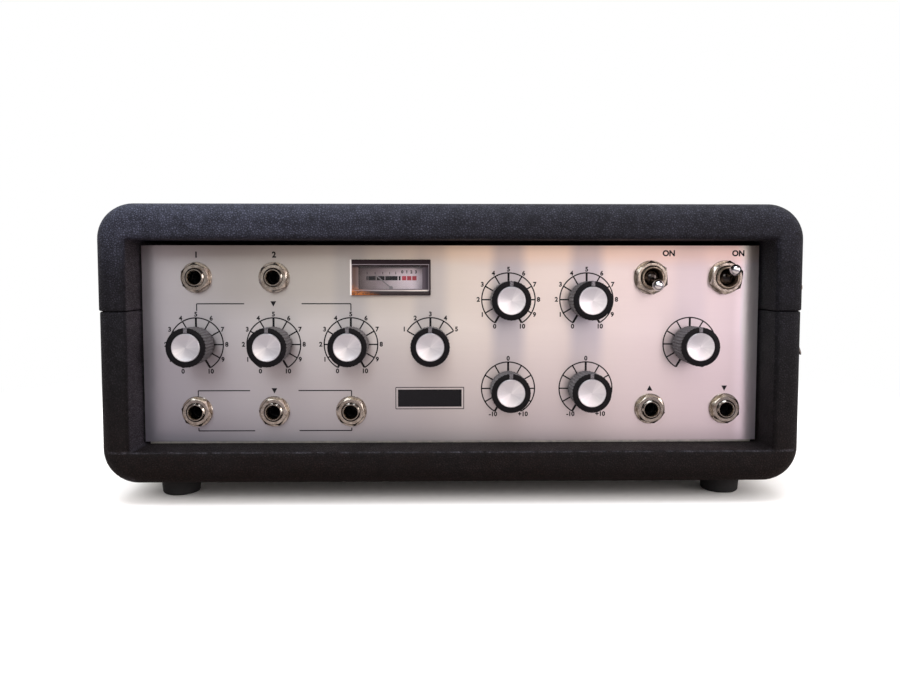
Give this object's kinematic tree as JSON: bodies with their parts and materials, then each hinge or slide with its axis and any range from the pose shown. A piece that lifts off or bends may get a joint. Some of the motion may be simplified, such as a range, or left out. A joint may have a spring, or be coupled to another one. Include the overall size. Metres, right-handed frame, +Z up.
{
  "type": "tape echo unit",
  "caption": "Head-shaped tape echo unit in a black leathercloth case with a lift-off lid, brushed panel, knobs, jacks, toggles, level meter and a tape transport under the lid.",
  "frame": {"origin": "on the floor under the middle of the case, at the bottom of the rubber feet", "axes": "+X to the right as seen from the front, +Y to the back, +Z up"},
  "size_m": [0.37, 0.26, 0.151],
  "materials": {
    "covered_wood": "plywood covered in black pebbled leathercloth",
    "rubber": "matt",
    "brushed_panel": "brushed along its length, black print",
    "plated_steel": "zinc plated",
    "black_steel": "satin",
    "nickel": "nickel, lightly aged",
    "motor_steel": "hammered grey",
    "brass": "turned",
    "cast_bar": "milled",
    "head_metal": "lapped",
    "turned_steel": "turned",
    "tape_film": "oxide brown",
    "lamination": "varnished",
    "board": "phenolic paper",
    "pot_metal": "plated",
    "black_plastic": "moulded",
    "knob_plastic": "moulded, finely fluted",
    "cap_aluminium": "spun",
    "dial_paint": "silvery",
    "needle_paint": "matt black",
    "clear_window": "clear"
  },
  "bodies": {
    "case": {"base_tub": "covered_wood", "rubber_feet": "rubber", "control_panel": "brushed_panel", "chassis_tray": "plated_steel", "rear_plate": "black_steel", "deck_plate": "plated_steel", "deck_pillars": "plated_steel", "screws": "plated_steel", "panel_nuts": "nickel", "drive_motor": "motor_steel", "capstan_bearing": "brass", "head_bridge": "cast_bar", "erase_head": "head_metal", "record_head": "head_metal", "playback_heads": "head_metal", "tape_guides": "plated_steel", "tape_loop": "tape_film", "drive_belt": "rubber", "power_transformer": "lamination", "circuit_board": "board", "control_pots": "pot_metal", "mode_switch": "board", "phone_jacks": "nickel", "switch_bodies": "nickel", "meter_case": "black_plastic", "meter_dial": "dial_paint", "meter_lens": "clear_window", "fuse_holder": "black_plastic", "cord_gland": "black_plastic", "catch_studs": "nickel"},
    "lid": {"lid_shell": "covered_wood", "catch_plates": "nickel"},
    "left_catches": {"catches_left": "nickel"},
    "right_catches": {"catches_right": "nickel"},
    "mic_1_control": {"mic_knob_1": "knob_plastic", "mic_cap_1": "cap_aluminium"},
    "mic_2_control": {"mic_knob_2": "knob_plastic", "mic_cap_2": "cap_aluminium"},
    "mic_3_control": {"mic_knob_3": "knob_plastic", "mic_cap_3": "cap_aluminium"},
    "mode_control": {"mode_knob": "knob_plastic", "mode_cap": "cap_aluminium"},
    "repeat_control": {"repeat_knob": "knob_plastic", "repeat_cap": "cap_aluminium"},
    "echo_control": {"echo_knob": "knob_plastic", "echo_cap": "cap_aluminium"},
    "bass_control": {"bass_knob": "knob_plastic", "bass_cap": "cap_aluminium"},
    "treble_control": {"treble_knob": "knob_plastic", "treble_cap": "cap_aluminium"},
    "delay_control": {"delay_knob": "knob_plastic", "delay_cap": "cap_aluminium"},
    "standby_toggle": {"standby_lever": "nickel"},
    "power_toggle": {"power_lever": "nickel"},
    "needle": {"meter_needle": "needle_paint"},
    "capstan": {"flywheel": "turned_steel"},
    "motor_rotor": {"motor_pulley": "brass"},
    "pinch_arm": {"pinch_arm": "plated_steel"},
    "pinch_roller": {"pinch_roller": "rubber"},
    "tension_arm": {"tension_arm": "plated_steel"}
  },
  "joints": [
    {"name": "lid_lift", "type": "slide", "parent": "case", "child": "lid", "axis": [0, 0, 1], "range_m": [0, 0.075]},
    {"name": "left_catch_swing", "type": "hinge", "parent": "lid", "child": "left_catches", "pos_m": [-0.18085, 0, 0.1088], "axis": [0, 1, 0], "range_deg": [0, 100]},
    {"name": "right_catch_swing", "type": "hinge", "parent": "lid", "child": "right_catches", "pos_m": [0.18085, 0, 0.1088], "axis": [0, -1, 0], "range_deg": [0, 100]},
    {"name": "mic_1_turn", "type": "hinge", "parent": "case", "child": "mic_1_control", "pos_m": [-0.1327, -0.11, 0.0792], "axis": [0, 1, 0], "range_deg": [-150, 150]},
    {"name": "mic_2_turn", "type": "hinge", "parent": "case", "child": "mic_2_control", "pos_m": [-0.0927, -0.11, 0.0792], "axis": [0, 1, 0], "range_deg": [-150, 150]},
    {"name": "mic_3_turn", "type": "hinge", "parent": "case", "child": "mic_3_control", "pos_m": [-0.0527, -0.11, 0.0792], "axis": [0, 1, 0], "range_deg": [-150, 150]},
    {"name": "mode_turn", "type": "hinge", "parent": "case", "child": "mode_control", "pos_m": [-0.0114, -0.11, 0.0792], "axis": [0, 1, 0], "range_deg": [-60, 60]},
    {"name": "repeat_turn", "type": "hinge", "parent": "case", "child": "repeat_control", "pos_m": [0.0292, -0.11, 0.10245], "axis": [0, 1, 0], "range_deg": [-150, 150]},
    {"name": "echo_turn", "type": "hinge", "parent": "case", "child": "echo_control", "pos_m": [0.0699, -0.11, 0.10245], "axis": [0, 1, 0], "range_deg": [-150, 150]},
    {"name": "bass_turn", "type": "hinge", "parent": "case", "child": "bass_control", "pos_m": [0.0292, -0.11, 0.05595], "axis": [0, 1, 0], "range_deg": [-150, 150]},
    {"name": "treble_turn", "type": "hinge", "parent": "case", "child": "treble_control", "pos_m": [0.0699, -0.11, 0.05595], "axis": [0, 1, 0], "range_deg": [-150, 150]},
    {"name": "delay_turn", "type": "hinge", "parent": "case", "child": "delay_control", "pos_m": [0.1243, -0.11, 0.0792], "axis": [0, 1, 0], "range_deg": [-150, 150]},
    {"name": "standby_flip", "type": "hinge", "parent": "case", "child": "standby_toggle", "pos_m": [0.1033, -0.11, 0.114], "axis": [1, 0, 0], "range_deg": [-32, 0]},
    {"name": "power_flip", "type": "hinge", "parent": "case", "child": "power_toggle", "pos_m": [0.1423, -0.11, 0.114], "axis": [1, 0, 0], "range_deg": [0, 32]},
    {"name": "needle_swing", "type": "hinge", "parent": "case", "child": "needle", "pos_m": [-0.032, -0.11, 0.1085], "axis": [0, 1, 0], "range_deg": [0, 100], "stiffness_Nm_per_rad": 0.00001},
    {"name": "capstan_spin", "type": "hinge", "parent": "case", "child": "capstan", "pos_m": [0.05, -0.014, 0.06], "axis": [0, 0, 1], "continuous": true},
    {"name": "motor_spin", "type": "hinge", "parent": "case", "child": "motor_rotor", "pos_m": [-0.035, 0.018, 0.06], "axis": [0, 0, 1], "continuous": true},
    {"name": "pinch_press", "type": "hinge", "parent": "case", "child": "pinch_arm", "pos_m": [0.088, -0.0349, 0.1], "axis": [0, 0, -1], "range_deg": [0, 8]},
    {"name": "roller_spin", "type": "hinge", "parent": "pinch_arm", "child": "pinch_roller", "pos_m": [0.04926, -0.03227, 0.106], "axis": [0, 0, 1], "continuous": true},
    {"name": "tension_swing", "type": "hinge", "parent": "case", "child": "tension_arm", "pos_m": [-0.125, 0.018, 0.1], "axis": [0, 0, -1], "range_deg": [0, 20], "stiffness_Nm_per_rad": 0.02, "springref_deg": -11.46}
  ],
  "couplings": [
    {"joint": "left_catch_swing", "follows": "lid_lift", "rad_per_m": 23.27},
    {"joint": "right_catch_swing", "follows": "lid_lift", "rad_per_m": 23.27},
    {"joint": "motor_spin", "follows": "capstan_spin", "ratio": 5.1429},
    {"joint": "roller_spin", "follows": "capstan_spin", "ratio": -0.33333}
  ]
}
